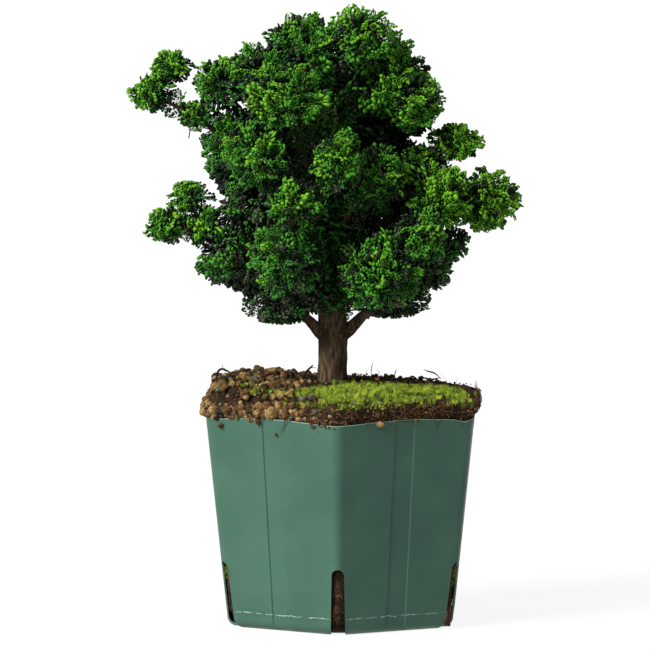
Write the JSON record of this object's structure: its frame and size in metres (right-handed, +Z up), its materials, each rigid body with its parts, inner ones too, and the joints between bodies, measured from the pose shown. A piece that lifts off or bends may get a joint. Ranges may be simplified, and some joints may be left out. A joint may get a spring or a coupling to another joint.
{
  "type": "potted dwarf cypress",
  "caption": "Dwarf conifer with a short stout trunk and dense rounded pads of foliage, on a mossy root ball in a six-sided tapered nursery pot with corner slits.",
  "frame": {"origin": "centre of the pot's flat underside", "axes": "+Z up; the side that the picture shows faces -Y, and +X is to its right; one corner of the six-sided pot points to -Y, turned 2 degrees"},
  "size_m": [0.2952, 0.2371, 0.4603],
  "materials": {
    "pot_plastic": "matte green",
    "soil": "rough fibrous brown",
    "moss": "soft bright green",
    "bark": "rough dark brown",
    "foliage": "matte deep green"
  },
  "bodies": {
    "root": {"bough_back_high": "bark", "bough_back_left": "bark", "bough_back_low": "bark", "bough_back_low_left": "bark", "bough_back_right": "bark", "bough_bottom_left": "bark", "bough_bottom_right": "bark", "bough_far_left_high": "bark", "bough_front_centre": "bark", "bough_front_left_high": "bark", "bough_front_low_left": "bark", "bough_front_low_right": "bark", "bough_left_far_low": "bark", "bough_left_inner": "bark", "bough_left_low": "bark", "bough_left_mid": "bark", "bough_right_far": "bark", "bough_right_low": "bark", "bough_right_pad_high": "bark", "bough_top_left": "bark", "bough_top_right": "bark", "foliage_back_high": "foliage", "foliage_back_left": "foliage", "foliage_back_low": "foliage", "foliage_back_low_left": "foliage", "foliage_back_right": "foliage", "foliage_bottom_left": "foliage", "foliage_bottom_right": "foliage", "foliage_far_left_high": "foliage", "foliage_front_centre": "foliage", "foliage_front_left_high": "foliage", "foliage_front_low_left": "foliage", "foliage_front_low_right": "foliage", "foliage_left_far_low": "foliage", "foliage_left_inner": "foliage", "foliage_left_low": "foliage", "foliage_left_mid": "foliage", "foliage_right_far": "foliage", "foliage_right_low": "foliage", "foliage_right_pad_high": "foliage", "foliage_top": "foliage", "foliage_top_left": "foliage", "foliage_top_right": "foliage", "moss": "moss", "pot": "pot_plastic", "root_ball": "soil", "trunk": "bark"}
  },
  "joints": []
}
